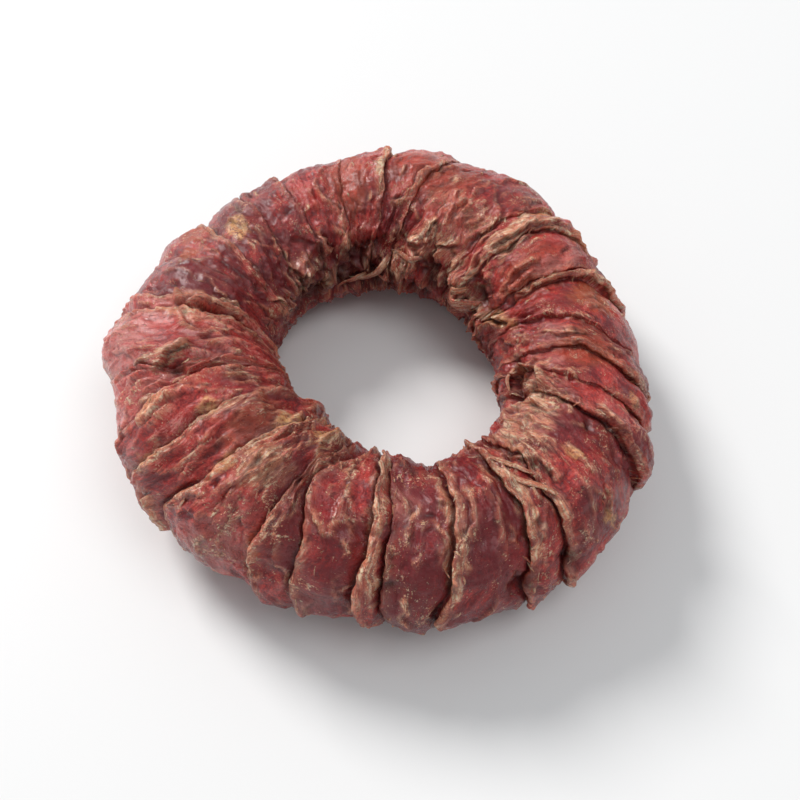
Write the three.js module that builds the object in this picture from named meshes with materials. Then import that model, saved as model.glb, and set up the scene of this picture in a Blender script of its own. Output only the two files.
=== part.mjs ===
// A duck dog treat: strips of duck breast wound round and round a ring and dried into one piece.
// Millimetres, +Z up. The ring lies flat with its axis on Z, and the origin is on the surface it rests on.
// Azimuth runs from +X towards +Y. The section angle is 0 on the outer side of the tube, 90 on top of it,
// 180 on the side of the hole and 270 underneath. Each strip overlaps the one before it in azimuth, so its
// lower edge in azimuth is a lip that stands up over its neighbour.
import * as THREE from "three";

const RING_RADIUS = 56.9; // of the tube's centre line
const TUBE_RADIUS = 22.0; // of the meat under the strips' lips
const TUBE_HEIGHT_SHARE = 0.97; // the section is a little wider than it is high
const SETTLED = 1.0; // how much of the underside dried flat against the tray

// How the centre line leaves a true circle, and how the tube grows and shrinks along it.
const OUT_OF_ROUND = [
  { lobes: 1, size: 1.9, at: 70 },
  { lobes: 2, size: 2.3, at: 124 },
  { lobes: 3, size: 1.8, at: 67 },
];
const THICK_AND_THIN = [
  { lobes: 1, size: 1.5, at: 205 },
  { lobes: 2, size: 1.0, at: 45 },
  { lobes: 3, size: 0.9, at: 81 },
];

// Slow unevenness of the meat: waves along the ring and round the tube.
const SWELLS = [
  { size: 0.5, along: 9, round: 1, at: 20 },
  { size: 0.45, along: 14, round: -2, at: 130 },
  { size: 0.4, along: 5, round: 3, at: 75 },
  { size: 0.3, along: 23, round: 2, at: 210 },
];

const LIP_SECTIONS = [0, 45, 90, 135, 180, 270];
const SIDE_SECTIONS = [0, 90, 180, 270];
const UNDERSIDE_TWIST = 3; // the wrap moves on by this many degrees under the ring
const UNDERSIDE_RISE = 0.7; // lips are pressed down underneath

// lip: azimuth of the strip's lip at section angles 0, 45, 90, 135 and 180.
// rise: how far the lip stands up on the outer side, on top and in the hole.
// swell: how far the strip's middle bulges at the same three places.
const STRIPS = [
  { lip: [-1, 1, 6.5, 12, 16], rise: [0.6, 0.9, 1.6], swell: [2.0, 0.8, 0] },
  { lip: [15.5, 20, 22.5, 23, 27], rise: [4.4, 2.4, 1.6], swell: [1.0, 0.5, 0] },
  { lip: [19.5, 24, 25.5, 28, 32], rise: [3.0, 1.8, 2.0], swell: [0.5, 1.6, 0] },
  { lip: [30, 34, 39.5, 43, 47], rise: [3.4, 2.8, 2.0], swell: [1.2, 0.5, 1.0] },
  { lip: [44, 43.5, 49.5, 52, 57], rise: [1.0, 1.0, 1.5], swell: [2.2, 0.4, 0.8] },
  { lip: [72, 72.5, 77, 84, 89], rise: [3.0, 1.4, 2.2], swell: [1.6, -0.4, 0] },
  { lip: [88, 89, 90, 92, 97], rise: [3.2, 2.6, 1.6], swell: [0.6, 0.6, 0] },
  { lip: [101, 102, 104.5, 105, 109], rise: [0.9, 0.7, 1.8], swell: [0, 0.3, 0.4] },
  { lip: [118, 118.5, 119.5, 119, 123], rise: [2.4, 1.0, 1.8], swell: [0.6, 0.2, 0] },
  { lip: [126, 129, 130, 134, 137], rise: [1.6, 1.4, 1.6], swell: [1.0, 0.3, 0] },
  { lip: [139, 141, 145, 149, 152], rise: [2.2, 1.8, 1.4], swell: [2.6, 0.2, 0.2] },
  { lip: [155, 155.5, 157, 158.5, 161], rise: [1.6, 1.0, 1.0], swell: [0.2, 0.3, 0] },
  { lip: [167, 168, 171, 168.5, 171], rise: [3.0, 2.6, 2.2], swell: [0.8, 0.4, 0] },
  { lip: [172, 173, 176, 173.5, 178], rise: [3.4, 2.0, 1.6], swell: [1.4, 0.8, 0.4] },
  { lip: [187, 190, 196.5, 198, 202], rise: [1.2, 2.4, 1.4], swell: [-0.8, 0, 0] },
  { lip: [202.5, 203.5, 201, 203, 207], rise: [1.2, 2.2, 1.2], swell: [0.4, 0.6, 0] },
  { lip: [210, 213, 215, 219, 224], rise: [1.8, 2.2, 1.2], swell: [1.2, 0.4, 0] },
  { lip: [220, 224, 229.5, 236, 242], rise: [1.6, 2.8, 1.6], swell: [1.8, 0.8, 0] },
  { lip: [242.5, 242, 246.5, 254, 258], rise: [3.6, 1.8, 1.2], swell: [1.0, 0, 0] },
  { lip: [252, 251.5, 250.5, 262, 268], rise: [3.0, 2.0, 1.0], swell: [0.4, 0.8, -0.4] },
  { lip: [264.5, 265, 267.5, 269, 273], rise: [4.4, 3.0, 1.4], swell: [1.0, 0.4, -0.6] },
  { lip: [268.5, 269.5, 271, 274, 278], rise: [2.2, 1.4, 1.0], swell: [1.6, 0.6, -0.8] },
  { lip: [280, 282.5, 288, 290, 294], rise: [3.0, 3.2, 1.4], swell: [-0.8, 0.4, -0.4] },
  { lip: [297, 300, 302, 304, 307], rise: [2.6, 2.8, 1.2], swell: [0.2, 0.2, 0] },
  { lip: [306.5, 308.5, 310.5, 310, 312], rise: [3.2, 2.6, 1.0], swell: [1.0, 0.8, -1.2] },
  { lip: [331, 331.5, 335.5, 338, 342], rise: [3.8, 1.8, 1.6], swell: [2.0, 0.3, 0.4] },
  { lip: [342.5, 342.5, 344, 346, 350], rise: [3.0, 0.8, 2.0], swell: [2.6, 0.2, 0] },
  { lip: [351, 352, 356, 355.5, 359], rise: [2.8, 1.8, 1.8], swell: [0.4, 0.2, 0] },
];

// Curled flaps, straps, knots and pits in the strips. at: azimuth and section angle of the middle.
// half: half length and half width. turn: how far the length is turned from along the ring towards
// the hole. high: how far it stands up, or how deep it is where negative.
const FOLDS = [
  { at: [191, 71], half: [4.5, 2.8], turn: -50, high: 2.6 },
  { at: [195.5, 77], half: [3.2, 3.0], turn: 0, high: -2.6 },
  { at: [202.5, 98], half: [7.5, 3.2], turn: 90, high: 1.3 },
  { at: [223, 102], half: [3.6, 3.0], turn: 0, high: 1.3 },
  { at: [234, 112], half: [5.0, 3.0], turn: 60, high: 1.2 },
  { at: [246.5, 121], half: [5.0, 2.8], turn: 70, high: 1.4 },
  { at: [296.5, 18], half: [4.5, 3.6], turn: 40, high: -3.0 },
  { at: [307.5, 16], half: [4.5, 3.2], turn: 90, high: -2.6 },
  { at: [340.5, 145], half: [4.5, 3.6], turn: 0, high: -3.2 },
  { at: [345.5, 132], half: [6.5, 3.0], turn: 50, high: 2.0 },
  { at: [356, 152], half: [4.2, 3.2], turn: 0, high: -2.6 },
  { at: [24, 153], half: [11.5, 3.2], turn: 42, high: 2.2 },
  { at: [31, 149], half: [5.0, 3.8], turn: 0, high: -3.2 },
  { at: [44, 163], half: [8.5, 3.2], turn: 50, high: 1.8 },
  { at: [52, 158], half: [7.5, 3.0], turn: 50, high: 1.5 },
  { at: [45, 114], half: [5.5, 3.6], turn: 60, high: 1.4 },
  { at: [70.5, 132], half: [3.6, 3.2], turn: 0, high: 1.4 },
  { at: [63.5, 178], half: [3.6, 3.4], turn: 0, high: -2.6 },
  { at: [85.5, 171], half: [5.0, 3.0], turn: 20, high: 1.6 },
  { at: [99, 173], half: [9.0, 3.2], turn: 48, high: 2.0 },
  { at: [108, 160], half: [5.5, 4.2], turn: 0, high: -3.2 },
  { at: [118, 169], half: [4.0, 3.4], turn: 20, high: 2.0 },
  { at: [129, 153], half: [4.4, 3.0], turn: 90, high: 1.5 },
  { at: [151, 160], half: [4.6, 3.2], turn: -40, high: 2.0 },
];

const NARROWEST = 2.0; // least width of a strip that shows, measured along the ring
const STEEPEST = 0.55; // a lip's rise is at most this share of the strip in front of it
const CREVICE = 0.3; // depth of the crease under a lip
const TIP_HEIGHT = 0.5; // of a lip, as a share of its rise
const CREST_BACK = 0.35; // a lip is highest this far behind its tip, as a share of its rise

// How far a lip's tip hangs out over its root, as a share of its rise: on the outer side, on top, in the
// hole, and underneath, where it is pressed back against the tray.
const OVERHANG = [0.45, 0.45, 0.45, -0.4];

const SECTIONS = 32; // faces round the tube
const COLUMN_WIDTH = 5.2; // of the faces along the ring between lips, about

const radians = THREE.MathUtils.degToRad;

// The same turn between -180 and 180 degrees.
function shortTurn(angle) {
  return THREE.MathUtils.euclideanModulo(angle + 180, 360) - 180;
}

// Sum of waves that repeat once or more round the ring.
function waves(list, azimuth) {
  return list.reduce((sum, w) => sum + w.size * Math.cos(radians(w.lobes * (azimuth - w.at))), 0);
}

// Smooth curve through values at the given section angles that closes on itself round the tube.
function roundTube(angles, values, section) {
  const count = angles.length;
  const turn = THREE.MathUtils.euclideanModulo(section, 360);
  let i = count - 1;
  while (i > 0 && angles[i] > turn) i -= 1;
  const angleAt = (n) => angles[THREE.MathUtils.euclideanModulo(n, count)] + 360 * Math.floor(n / count);
  const valueAt = (n) => values[THREE.MathUtils.euclideanModulo(n, count)];
  const slopeAt = (n) => (valueAt(n + 1) - valueAt(n - 1)) / (angleAt(n + 1) - angleAt(n - 1));
  const span = angleAt(i + 1) - angleAt(i);
  const t = (turn - angleAt(i)) / span;
  const rest = 1 - t;
  return (
    valueAt(i) * (1 + 2 * t) * rest * rest +
    valueAt(i + 1) * t * t * (3 - 2 * t) +
    slopeAt(i) * span * t * rest * rest -
    slopeAt(i + 1) * span * t * t * rest
  );
}

// Azimuth of a strip's lip at one section angle.
function lipAt(strip, section) {
  const under = (strip.lip[0] + strip.lip[4]) / 2 + UNDERSIDE_TWIST;
  return roundTube(LIP_SECTIONS, [...strip.lip, under], section);
}

// A strip's rise or swell at one section angle.
function sideAt([outer, top, hole], section) {
  return roundTube(SIDE_SECTIONS, [outer, top, hole, UNDERSIDE_RISE * Math.min(outer, hole)], section);
}

// Distance from the ring's axis to the tube's surface.
function reach(azimuth, section) {
  const tube = TUBE_RADIUS + waves(THICK_AND_THIN, azimuth);
  return RING_RADIUS + waves(OUT_OF_ROUND, azimuth) + tube * Math.cos(radians(section));
}

// Height that the slow unevenness of the meat adds at a place on the tube.
function swellOf(azimuth, section) {
  return SWELLS.reduce(
    (sum, s) => sum + s.size * Math.sin(radians(s.along * azimuth + s.round * section + s.at)),
    0,
  );
}

// Height that the folds and pits add at a place on the tube.
function foldsAt(azimuth, section) {
  return FOLDS.reduce((sum, { at, half, turn, high }) => {
    const along = radians(shortTurn(azimuth - at[0])) * reach(azimuth, section);
    const across = radians(shortTurn(section - at[1])) * TUBE_RADIUS;
    const u = (along * Math.cos(radians(turn)) + across * Math.sin(radians(turn))) / half[0];
    const v = (across * Math.cos(radians(turn)) - along * Math.sin(radians(turn))) / half[1];
    return sum + high * Math.exp(-u * u - v * v);
  }, 0);
}

// The point at a height over the bare tube, pressed flat where it would go below the tray.
function pointOn(azimuth, section, height) {
  const bare = TUBE_RADIUS + waves(THICK_AND_THIN, azimuth);
  const tube = bare + height + swellOf(azimuth, section) + foldsAt(azimuth, section);
  const centre = RING_RADIUS + waves(OUT_OF_ROUND, azimuth);
  const out = centre + tube * Math.cos(radians(section));
  const up = TUBE_HEIGHT_SHARE * (bare + tube * Math.sin(radians(section))) - SETTLED;
  return [out * Math.cos(radians(azimuth)), out * Math.sin(radians(azimuth)), Math.max(up, 0)];
}

// All lips at one section angle, kept in order and apart.
function lipsAround(section) {
  const lips = STRIPS.map((strip) => lipAt(strip, section));
  for (let k = 1; k < lips.length; k += 1) {
    const gap = THREE.MathUtils.radToDeg(NARROWEST / reach(lips[k], section));
    lips[k] = Math.max(lips[k], lips[k - 1] + gap);
  }
  return lips;
}

// The places of one strip across its width, at one section angle: the crease under its lip, the lip's
// underside, the lip's top, and evenly on to the next strip's lip. Each is [azimuth, height].
function acrossStrip(k, lips, section, columns) {
  const strip = STRIPS[k];
  const start = lips[k];
  const end = k + 1 < lips.length ? lips[k + 1] : lips[0] + 360;
  const before = k > 0 ? lips[k - 1] : lips[lips.length - 1] - 360;
  const perDegree = radians(1) * reach(start, section);
  const room = Math.min(end - start, start - before) * perDegree;
  const rise = Math.min(sideAt(strip.rise, section), STEEPEST * room);
  const swell = sideAt(strip.swell, section);
  const overhang = rise * roundTube(SIDE_SECTIONS, OVERHANG, section);
  const places = [
    [start + overhang / perDegree, -CREVICE],
    [start, TIP_HEIGHT * rise],
    [start + (CREST_BACK * rise) / perDegree, rise],
  ];
  for (let i = 1; i <= columns; i += 1) {
    const t = i / (columns + 1);
    const azimuth = start + t * (end - start);
    const bulge = swell * Math.sin(Math.PI * t);
    places.push([azimuth, rise * (1 - t) + bulge]);
  }
  return places;
}

// A closed skin: columns along the ring, sections round the tube.
function wrappedRing() {
  const top = lipsAround(90);
  const columns = STRIPS.map((_, k) => {
    const next = k + 1 < top.length ? top[k + 1] : top[0] + 360;
    return Math.max(1, Math.round((radians(next - top[k]) * RING_RADIUS) / COLUMN_WIDTH));
  });
  const positions = [];
  for (let j = 0; j < SECTIONS; j += 1) {
    const section = (360 * j) / SECTIONS;
    const lips = lipsAround(section);
    STRIPS.forEach((_, k) => {
      acrossStrip(k, lips, section, columns[k]).forEach(([azimuth, height]) => {
        positions.push(...pointOn(azimuth, section, height));
      });
    });
  }
  const width = positions.length / 3 / SECTIONS;
  const faces = [];
  for (let j = 0; j < SECTIONS; j += 1) {
    const above = (j + 1) % SECTIONS;
    for (let i = 0; i < width; i += 1) {
      const beside = (i + 1) % width;
      const [a, b] = [j * width + i, j * width + beside];
      const [c, d] = [above * width + beside, above * width + i];
      faces.push(a, b, c, a, c, d);
    }
  }
  const geometry = new THREE.BufferGeometry();
  geometry.setAttribute("position", new THREE.Float32BufferAttribute(positions, 3));
  geometry.setIndex(faces);
  return geometry;
}

// The ring is set with the middle of its outline on the Z axis.
function centred(geometry) {
  geometry.computeBoundingBox();
  const middle = geometry.boundingBox.getCenter(new THREE.Vector3());
  geometry.translate(-middle.x, -middle.y, 0);
  geometry.computeVertexNormals();
  return geometry;
}

const driedDuck = new THREE.MeshStandardMaterial({ color: 0x864f47, roughness: 0.5, metalness: 0 });

const treat = new THREE.Group();
const ring = new THREE.Mesh(centred(wrappedRing()), driedDuck);
ring.name = "duck_ring";
treat.add(ring);

export default treat;
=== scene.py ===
"""A duck dog treat: a fine skin of dried, overlapping strips of meat over a plain ring.

Tables and surface code are in millimetres and degrees, and the scene is in metres. Azimuth runs from +X
towards +Y. The section angle is 0 on the outer side of the tube, 90 on top, 180 on the side of the hole
and 270 underneath. Each strip overlaps the one before it in azimuth, so its lower edge is a raised lip.
"""
import math

import bpy
import numpy as np
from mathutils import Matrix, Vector


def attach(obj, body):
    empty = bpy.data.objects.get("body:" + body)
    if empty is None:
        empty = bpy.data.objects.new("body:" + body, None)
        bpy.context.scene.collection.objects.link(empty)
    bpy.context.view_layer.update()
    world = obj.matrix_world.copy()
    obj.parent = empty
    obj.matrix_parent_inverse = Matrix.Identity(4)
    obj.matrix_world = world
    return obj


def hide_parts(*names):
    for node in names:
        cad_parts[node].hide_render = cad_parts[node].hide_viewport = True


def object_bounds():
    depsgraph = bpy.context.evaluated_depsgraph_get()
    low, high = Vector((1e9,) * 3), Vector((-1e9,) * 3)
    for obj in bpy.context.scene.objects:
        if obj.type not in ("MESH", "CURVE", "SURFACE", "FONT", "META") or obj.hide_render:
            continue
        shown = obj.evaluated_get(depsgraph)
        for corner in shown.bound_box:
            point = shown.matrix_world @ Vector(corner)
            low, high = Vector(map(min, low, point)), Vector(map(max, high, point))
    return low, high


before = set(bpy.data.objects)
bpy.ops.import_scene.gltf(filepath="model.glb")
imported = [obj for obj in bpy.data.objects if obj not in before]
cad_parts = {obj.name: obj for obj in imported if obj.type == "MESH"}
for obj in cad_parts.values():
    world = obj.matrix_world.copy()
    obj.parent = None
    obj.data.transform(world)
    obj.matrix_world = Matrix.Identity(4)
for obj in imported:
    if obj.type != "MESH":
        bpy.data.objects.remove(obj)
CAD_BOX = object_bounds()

MM = 0.001
NODE = "duck_ring"

# The plain ring
RING_RADIUS = 56.9
TUBE_RADIUS = 22.0
TUBE_HEIGHT_SHARE = 0.97
SETTLED = 1.0
AXIS = (-2.8, 3.7)  # from the ring's own axis to the middle of its uneven outline
OUT_OF_ROUND = [(1, 1.9, 70), (2, 2.3, 124), (3, 1.8, 67)]  # lobes, size, azimuth
THICK_AND_THIN = [(1, 1.5, 205), (2, 1.0, 45), (3, 0.9, 81)]
SWELLS = [(0.5, 9, 1, 20), (0.45, 14, -2, 130), (0.4, 5, 3, 75), (0.3, 23, 2, 210)]  # size, along, round, at

LIP_SECTIONS = [0, 45, 90, 135, 180, 270]
SIDE_SECTIONS = [0, 90, 180, 270]
UNDERSIDE_TWIST = 3
UNDERSIDE_RISE = 0.7
NARROWEST = 2.0

# The strips. Each has the azimuth of its lip at section angles 0, 45, 90, 135 and 180, then on the outer
# side, on top and in the hole: rise of the lip, swell of the middle, tan of the lip's dry rim (0 to 1) and
# tone of the meat (-1 plum, 0 red-brown, 1 pale pink), then how speckled and crumpled it is, and how stringy.
# The tones are partly painted light: set lighter on the strips of the brightly lit left side and darker on
# the shaded front.
STRIP_KEYS = ("lip", "rise", "swell", "rim", "tone", "mottle", "fibre")
STRIPS = [dict(zip(STRIP_KEYS, row)) for row in (
    ([-1, 1, 6.5, 12, 16], [0.6, 0.9, 1.6], [2, 0.8, 0], [0.2, 0.1, 0.5], [0, 0.1, 0.3], 0.5, 0.4),
    ([15.5, 20, 22.5, 23, 27], [4.4, 2.4, 1.6], [1, 0.5, 0], [0.9, 1, 0.4], [0.3, 0.2, 0], 0.3, 0.6),
    ([19.5, 24, 25.5, 28, 32], [3, 1.8, 2], [0.5, 1.6, 0], [0.4, 0.3, 0.2], [0.1, 0.1, 0.2], 0.3, 0.6),
    ([30, 34, 39.5, 43, 47], [3.4, 2.8, 2], [1.2, 0.5, 1], [0.8, 1, 0.8], [0.7, 0.5, 0.4], 0.4, 0.6),
    ([44, 43.5, 49.5, 52, 57], [1, 1, 1.5], [2.2, 0.4, 0.8], [0.4, 0.4, 0.6], [0.2, 0.2, 0.3], 0.9, 0.3),
    ([72, 72.5, 77, 84, 89], [3, 1.4, 2.2], [1.6, -0.4, 0], [0.5, 0.5, 0.7], [0.1, 0, -0.2], 0.5, 0.5),
    ([88, 89, 90, 92, 97], [3.2, 2.6, 1.6], [0.6, 0.6, 0], [1, 0.9, 0.5], [0.3, 0.1, 0], 0.3, 0.9),
    ([101, 102, 104.5, 105, 109], [0.9, 0.7, 1.8], [0, 0.3, 0.4], [0.4, 0.3, 0.6],
     [0.1, 0.1, -0.1], 0.3, 0.4),
    ([118, 118.5, 119.5, 119, 123], [2.4, 1, 1.8], [0.6, 0.2, 0], [0.6, 0.5, 0.5],
     [-0.4, -0.7, -0.6], 0.5, 0.4),
    ([126, 129, 130, 134, 137], [1.6, 1.4, 1.6], [1, 0.3, 0], [0.5, 0.4, 0.5], [-0.4, -0.7, -0.4], 0.6, 0.5),
    ([139, 141, 145, 149, 152], [2.2, 1.8, 1.4], [2.6, 0.2, 0.2], [0.8, 0.8, 0.6],
     [0.1, -0.2, -0.1], 0.5, 0.5),
    ([155, 155.5, 157, 158.5, 161], [1.6, 1, 1], [0.2, 0.3, 0], [0.4, 0.2, 0.4], [0, -0.6, -0.3], 0.3, 0.4),
    ([167, 168, 171, 168.5, 171], [3, 2.6, 2.2], [0.8, 0.4, 0], [0.7, 1, 0.7], [0.8, 0.6, 0.2], 0.4, 0.6),
    ([172, 173, 176, 173.5, 178], [3.4, 2, 1.6], [1.4, 0.8, 0.4], [0.5, 1, 0.6], [1.1, 0.8, 0.2], 0.6, 0.6),
    ([187, 190, 196.5, 198, 202], [1.2, 2.4, 1.4], [-0.8, 0, 0], [0.3, 0.3, 0.7], [1, 0.7, 0.2], 0.4, 0.9),
    ([202.5, 203.5, 201, 203, 207], [1.2, 2.2, 1.2], [0.4, 0.6, 0], [0.8, 0.6, 0.4],
     [0.7, 0.3, 0], 0.7, 0.5),
    ([210, 213, 215, 219, 224], [1.8, 2.2, 1.2], [1.2, 0.4, 0], [0.8, 0.9, 0.3], [0.3, 0.2, -0.2], 0.5, 0.7),
    ([220, 224, 229.5, 236, 242], [1.6, 2.8, 1.6], [1.8, 0.8, 0], [0.7, 1, 0.9], [0.2, -0.1, 0.1], 1, 0.9),
    ([242.5, 242, 246.5, 254, 258], [3.6, 1.8, 1.2], [1, 0, 0], [0.4, 0.5, 0.6],
     [-0.4, -0.6, -0.5], 0.5, 0.6),
    ([252, 251.5, 250.5, 262, 268], [3, 2, 1], [0.4, 0.8, -0.4], [0.7, 0.6, 0.9],
     [-0.5, -0.4, -0.5], 0.7, 0.5),
    ([264.5, 265, 267.5, 269, 273], [4.4, 3, 1.4], [1, 0.4, -0.6], [0.9, 1, 0.8],
     [-0.7, -0.4, -0.3], 0.5, 0.7),
    ([268.5, 269.5, 271, 274, 278], [2.2, 1.4, 1], [1.6, 0.6, -0.8], [0.2, 0.2, 0.3],
     [-0.9, -0.8, -0.5], 1, 0.3),
    ([280, 282.5, 288, 290, 294], [3, 3.2, 1.4], [-0.8, 0.4, -0.4], [0.9, 1, 0.6],
     [-0.6, -0.7, -0.1], 0.2, 0.3),
    ([297, 300, 302, 304, 307], [2.6, 2.8, 1.2], [0.2, 0.2, 0], [0.6, 0.9, 0.8], [0, 0.1, 0.2], 0.3, 0.9),
    ([306.5, 308.5, 310.5, 310, 312], [3.2, 2.6, 1], [1, 0.8, -1.2], [0.8, 0.9, 0.6],
     [-0.3, -0.3, 0.7], 0.9, 0.3),
    ([331, 331.5, 335.5, 338, 342], [3.8, 1.8, 1.6], [2, 0.3, 0.4], [0.2, 0.6, 0.6],
     [-0.1, 0.1, 0.5], 0.7, 0.3),
    ([342.5, 342.5, 344, 346, 350], [3, 0.8, 2], [2.6, 0.2, 0], [0.5, 0.2, 0.7], [-0.1, 0.1, 0.3], 0.7, 0.4),
    ([351, 352, 356, 355.5, 359], [2.8, 1.8, 1.8], [0.4, 0.2, 0], [0.5, 0.4, 0.6], [-0.1, 0, 0.2], 0.6, 0.5),
)]

# Curled flaps, knots and pits: azimuth, section, half length, half width, turn from along the ring
# towards the hole, height, and for a fold lean of the crest across its length, tan
FOLDS = [
    (197, 80, 2.6, 2.4, 0, -2.4), (331, 77, 3, 2.4, 0, -1.8), (223, 102, 3.6, 3, 0, 1.3, 0.4, 0.1),
    (234, 112, 5, 3, 60, 1.2, 0.8, 0.8), (246.5, 121, 5, 2.8, 70, 1.4, 0.8, 0.9),
    (296.5, 18, 4.5, 3.6, 40, -3), (307.5, 16, 4.5, 3.2, 90, -2.6), (340.5, 145, 4.5, 3.6, 0, -3.2),
    (352, 144, 4.2, 3.2, 0, -2.8), (35, 151, 5.5, 4, 0, -3.8), (46, 165, 8.5, 6, 50, 2.4, 0.8, 0.5),
    (45, 114, 5.5, 3.4, 60, 1.4, 0.8, 0.9), (70.5, 132, 3.6, 3, 0, 1.2, 0.6, 0.7),
    (63.5, 178, 3.6, 3.4, 0, -3.2), (85.5, 172, 5, 2.6, 20, 1.8, 1, 0.8), (104, 158, 7, 5, 0, -4),
    (112, 175, 6, 5, 0, -4.2), (97, 186, 5, 3.6, 0, -3.2), (119, 167, 3, 4.6, 20, 2.6, 0.8, 0.6),
    (129, 152, 4, 4.4, 90, 1.8, 0.8, 0.4), (126, 172, 4, 4, 0, -3), (136, 160, 4.4, 3.4, 60, 1.6, 0.8, 0.6),
    (151, 160, 4.6, 3, -40, 2, 1.2, 0.8),
]

# Folded edges and creases inside the strips: places as azimuth and section, half width, height, tan, and
# 1 where it falls off steeply towards higher azimuth, 0 where neither side is steep, or else lower azimuth
EDGES = [
    ([(184, 94), (179, 89), (175, 82)], 1.4, 0.9, 0.8),
    ([(192, 93), (191, 82), (193, 75), (196, 68)], 1.7, 2.3, 0.9, 1),
    ([(204, 106), (203, 95), (204, 86), (204, 76)], 2.2, 1.7, 0.3),
    ([(203, 93), (198, 83), (195, 67), (192, 51), (191, 33)], 0.8, -1, 0, 0),
    ([(194, 60), (195, 44), (197, 30)], 1, 0.9, 0.2), ([(197, 66), (197, 52), (199, 38)], 1, 0.9, 0.3),
    ([(199, 73), (199, 61), (201, 50)], 0.9, 0.8, 0.3),
    ([(206, 77), (205, 68), (206, 59), (206, 44)], 1.6, 1.9, 0.9),
    ([(208, 71), (208, 61), (209, 50)], 1.2, 1, 0.7), ([(219, 81), (219, 74), (220, 66)], 0.9, 0.7, 0.4),
    ([(221, 69), (220, 58), (219, 43)], 1, 0.9, 0.6), ([(222, 60), (221, 50), (221, 39)], 0.8, 0.7, 0.4),
    ([(217, 18), (216, 9), (218, -2), (220, -15)], 1.6, 1.5, 0.9),
    ([(247, 91), (247, 78), (247, 61)], 1.1, 0.9, 0.2, 1), ([(252, 71), (254, 65), (257, 58)], 1, 0.9, 0.9),
    ([(244, 57), (243, 46)], 0.8, 0.6, 0.5), ([(247, 50), (247, 38), (248, 30)], 1, 0.6, 0.4),
    ([(292, 104), (292, 90), (291, 79), (288, 64)], 1.3, 0.9, 0.5),
    ([(309, 116), (310, 101), (313, 91), (313, 82), (313, 73)], 1.5, 1.4, 0.6),
    ([(338, 76), (335, 66), (333, 56)], 1.4, 1.5, 0.8), ([(322, 86), (321, 74), (320, 60)], 1, 0.7, 0.6),
    ([(321, 50), (319, 37), (318, 27)], 1, 0.8, 0.4),
    ([(326, 143), (333, 132), (333, 122), (330, 110)], 1.9, 1.1, 0.9),
    ([(323, 150), (323, 126), (319, 108), (317, 97)], 1.7, 1, 0.7), ([(316, 142), (311, 123)], 1, 0.8, 0.8),
    ([(349, 148), (347, 133), (345, 125), (342, 119), (338, 117)], 1.7, 2.5, 0.9),
    ([(3, 116), (360, 102), (1, 91), (1, 80)], 1.1, 0.9, 0.8),
    ([(6, 84), (3, 69), (359, 57), (356, 46)], 0.9, 0.7, 0.2, 1),
    ([(3, 82), (0, 70), (357, 60)], 0.9, 0.6, 0.2, 1),
    ([(28, 134), (31, 122), (31, 110), (30, 94)], 1.2, 1, 0.3),
    ([(26, 128), (27, 116), (27, 104)], 1, 0.8, 0.2), ([(53, 118), (51, 106), (50, 96)], 1.5, 1.1, 0.6),
    ([(45, 119), (43, 105), (42, 90), (40, 74), (38, 58)], 2.6, 1.4, 1),
    ([(47, 116), (45, 102), (44, 88), (42, 72)], 1.2, 0.6, 0.8, 1),
    ([(88, 117), (84, 113), (80, 103), (79, 92), (77, 78)], 1.6, 1.4, 0.6, 1),
    ([(73, 139), (72, 130), (69, 124)], 1.3, 1.7, 0.9), ([(80, 147), (74, 144), (70, 139)], 1.2, 1.3, 0.8),
    ([(95, 123), (95, 112), (96, 99)], 0.8, -0.6, 0, 0), ([(85, 95), (84, 79)], 0.9, 0.7, 0.3),
    ([(129, 158), (131, 146), (134, 135)], 1.4, 1.3, 0.4, 1),
    ([(150, 159), (148, 153), (151, 149), (154, 146)], 1.2, 1.5, 0.9, 1),
    ([(113, 112), (114, 98), (113, 84)], 1, 0.6, 0.2), ([(61, 108), (62, 96), (62, 82)], 1.1, 0.7, 0.4, 1),
    ([(66, 122), (66, 108), (67, 92)], 1, 0.6, 0.4), ([(259, 92), (258, 76), (258, 58)], 1.1, 0.8, 0.3),
    ([(276, 96), (276, 78), (275, 60)], 0.9, 0.5, 0.3, 1),
    ([(297, 92), (297, 78), (296, 60), (295, 44)], 0.9, 0.6, 0.2, 1),
    ([(234, 62), (233, 50), (232, 38)], 1, 0.7, 0.3), ([(237, 52), (236, 40), (235, 28)], 0.9, 0.6, 0.3),
    ([(181, 62), (180, 48), (181, 34)], 1.1, 0.7, 0.2), ([(162, 118), (161, 104), (161, 88)], 1.1, 0.7, 0.1),
    ([(167, 127), (171, 102), (172, 80)], 1.7, 2, 1), ([(174, 116), (174, 98), (174, 82)], 0.7, -1.3, 0, 0),
    ([(178, 116), (177, 98), (176, 83)], 1.5, 1.3, 1),
    ([(38, 172), (36, 165), (29, 160), (24, 152), (16, 141)], 2.2, 2.2, 0.8),
    ([(30, 168), (24, 160), (18, 152)], 1.6, 1.6, 0.7, 1),
    ([(101, 171), (98, 158), (95, 147)], 2.2, 2.4, 0.5, 1),
    ([(124, 182), (118, 168), (115, 160)], 1.8, 2.4, 0.6, 1),
    ([(133, 170), (130, 156), (127, 145)], 2.2, 2, 0.4, 1),
    ([(121, 152), (115, 143), (117, 129)], 2, 1.8, 0.4), ([(66, 142), (61, 137), (57, 132)], 1.2, 1.3, 0.9),
    ([(66, 158), (64, 148), (66, 138)], 1.6, 1.6, 0.6, 1),
    ([(76, 170), (75, 158), (78, 150)], 1.8, 1.8, 0.5),
    ([(87, 174), (84, 162), (86, 150)], 1.6, 1.6, 0.5, 1),
    ([(142, 172), (144, 160), (142, 148)], 1.6, 1.5, 0.4),
    ([(160, 176), (160, 164), (162, 150)], 1.5, 1.3, 0.3), ([(151, 96), (150, 82), (149, 66)], 1, 0.7, 0.3),
]

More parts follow.
